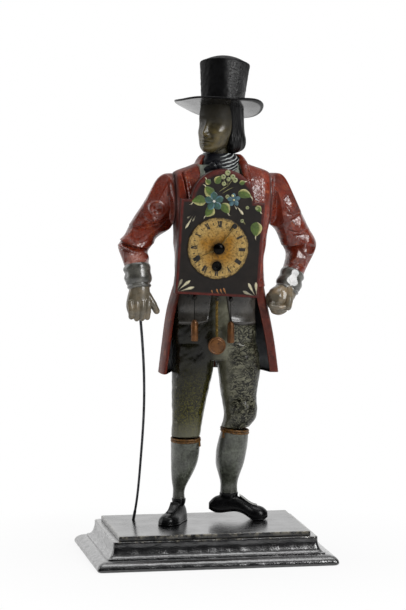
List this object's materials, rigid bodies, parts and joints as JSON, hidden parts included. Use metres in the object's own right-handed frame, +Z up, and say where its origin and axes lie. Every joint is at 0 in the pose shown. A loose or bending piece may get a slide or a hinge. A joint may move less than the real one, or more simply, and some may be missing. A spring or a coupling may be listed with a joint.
{
  "type": "figural clock",
  "caption": "Standing peddler figure in top hat and tailcoat on a moulded base, carrying an arched shield clock with turning hands, swinging pendulum and hanging weights.",
  "frame": {"origin": "middle of the base's underside, on the surface that the clock stands on", "axes": "+Z up, -Y towards the viewer, so that the shield faces -Y, +X to the viewer's right, which is the figure's left"},
  "size_m": [0.184, 0.133, 0.3813],
  "materials": {
    "base_black": "black lacquer, worn at the edges",
    "shoe_black": "black gloss paint",
    "stocking_grey": "grey paint, satin",
    "garter_gold": "ochre paint",
    "breeches_olive": "dark olive paint with crackle",
    "coat_red": "brick red paint, gloss varnish",
    "neckcloth_stripe": "black paint with pale stripes",
    "cuff_grey": "dark grey paint",
    "skin_olive": "darkened skin paint under varnish",
    "hat_black": "black paint, granular",
    "shield_brown": "near black brown paint with painted flowers",
    "dial_paint": "aged ivory paint with black numerals",
    "brass": "aged brass",
    "steel": "darkened steel",
    "copper": "copper coloured metal, stained"
  },
  "bodies": {
    "root": {"base_plinth": "base_black", "base_board": "base_black", "right_foot_screw": "steel", "left_foot_screw": "steel", "right_shoe": "shoe_black", "left_shoe": "shoe_black", "walking_stick": "steel", "right_stocking": "stocking_grey", "left_stocking": "stocking_grey", "right_garter": "garter_gold", "left_garter": "garter_gold", "breeches": "breeches_olive", "coat_front": "coat_red", "coat_back": "coat_red", "right_coat_tail": "coat_red", "left_coat_tail": "coat_red", "neckcloth": "neckcloth_stripe", "coat_collar": "coat_red", "right_sleeve": "coat_red", "right_cuff": "cuff_grey", "left_sleeve": "coat_red", "left_cuff": "cuff_grey", "right_hand": "skin_olive", "left_hand": "skin_olive", "head": "skin_olive", "hat_brim": "hat_black", "hat_crown": "hat_black", "clock_shield": "shield_brown", "dial": "dial_paint", "winding_bush": "steel", "movement_front_plate": "brass", "movement_back_plate": "brass", "plate_screw_1": "steel", "plate_screw_2": "steel", "plate_screw_3": "steel", "plate_screw_4": "steel", "movement_screw_1": "steel", "movement_screw_2": "steel"},
    "minute_arbor": {"centre_wheel": "brass", "cannon_pinion": "brass", "minute_hand": "brass", "hand_nut": "steel"},
    "hour_pipe": {"hour_wheel": "brass", "hour_hand": "brass"},
    "motion_wheel": {"minute_wheel": "brass"},
    "spring_barrel": {"barrel": "brass", "mainspring": "steel"},
    "third_arbor": {"third_wheel": "brass"},
    "escape_arbor": {"escape_wheel": "brass"},
    "winding_square": {"winding_arbor": "steel"},
    "pallets": {"pallet_lever": "steel"},
    "balance": {"balance_wheel": "brass"},
    "pendulum": {"pendulum_strip": "copper", "pendulum_bob": "copper"},
    "right_hanging_weight": {"right_weight": "copper"},
    "left_hanging_weight": {"left_weight": "copper"}
  },
  "joints": [
    {"name": "minute_turn", "type": "hinge", "parent": "root", "child": "minute_arbor", "pos_m": [0.0064, -0.02, 0.237], "axis": [0, 1, 0], "continuous": true},
    {"name": "hour_turn", "type": "hinge", "parent": "root", "child": "hour_pipe", "pos_m": [0.0064, -0.02, 0.237], "axis": [0, 1, 0], "continuous": true},
    {"name": "motion_turn", "type": "hinge", "parent": "root", "child": "motion_wheel", "pos_m": [0.01538, -0.015, 0.23637], "axis": [0, 1, 0], "continuous": true},
    {"name": "barrel_turn", "type": "hinge", "parent": "root", "child": "spring_barrel", "pos_m": [0.00545, 0, 0.22343], "axis": [0, 1, 0], "continuous": true},
    {"name": "third_turn", "type": "hinge", "parent": "root", "child": "third_arbor", "pos_m": [0.01163, 0, 0.24476], "axis": [0, 1, 0], "continuous": true},
    {"name": "escape_turn", "type": "hinge", "parent": "root", "child": "escape_arbor", "pos_m": [0.00507, 0, 0.24919], "axis": [0, 1, 0], "continuous": true},
    {"name": "winding_turn", "type": "hinge", "parent": "root", "child": "winding_square", "pos_m": [0.00545, -0.01, 0.22343], "axis": [0, 1, 0], "continuous": true},
    {"name": "pallet_rock", "type": "hinge", "parent": "root", "child": "pallets", "pos_m": [0.00551, 0, 0.25557], "axis": [0, 1, 0], "range_deg": [-5, 5]},
    {"name": "balance_swing", "type": "hinge", "parent": "root", "child": "balance", "pos_m": [-0.00389, 0, 0.25476], "axis": [0, 1, 0], "range_deg": [-135, 135]},
    {"name": "pendulum_swing", "type": "hinge", "parent": "root", "child": "pendulum", "pos_m": [0.0058, -0.0212, 0.19835], "axis": [0, 1, 0], "range_deg": [-14, 14]},
    {"name": "right_weight_swing", "type": "hinge", "parent": "root", "child": "right_hanging_weight", "pos_m": [-0.01046, -0.0164, 0.19948], "axis": [0, 1, 0], "range_deg": [-14, 14]},
    {"name": "left_weight_swing", "type": "hinge", "parent": "root", "child": "left_hanging_weight", "pos_m": [0.01737, -0.0164, 0.19754], "axis": [0, 1, 0], "range_deg": [-14, 14]}
  ],
  "couplings": [
    {"joint": "hour_turn", "follows": "minute_turn", "ratio": 0.083333},
    {"joint": "motion_turn", "follows": "minute_turn", "ratio": -0.33333},
    {"joint": "barrel_turn", "follows": "minute_turn", "ratio": -0.2},
    {"joint": "third_turn", "follows": "minute_turn", "ratio": -5},
    {"joint": "escape_turn", "follows": "minute_turn", "ratio": 25}
  ]
}
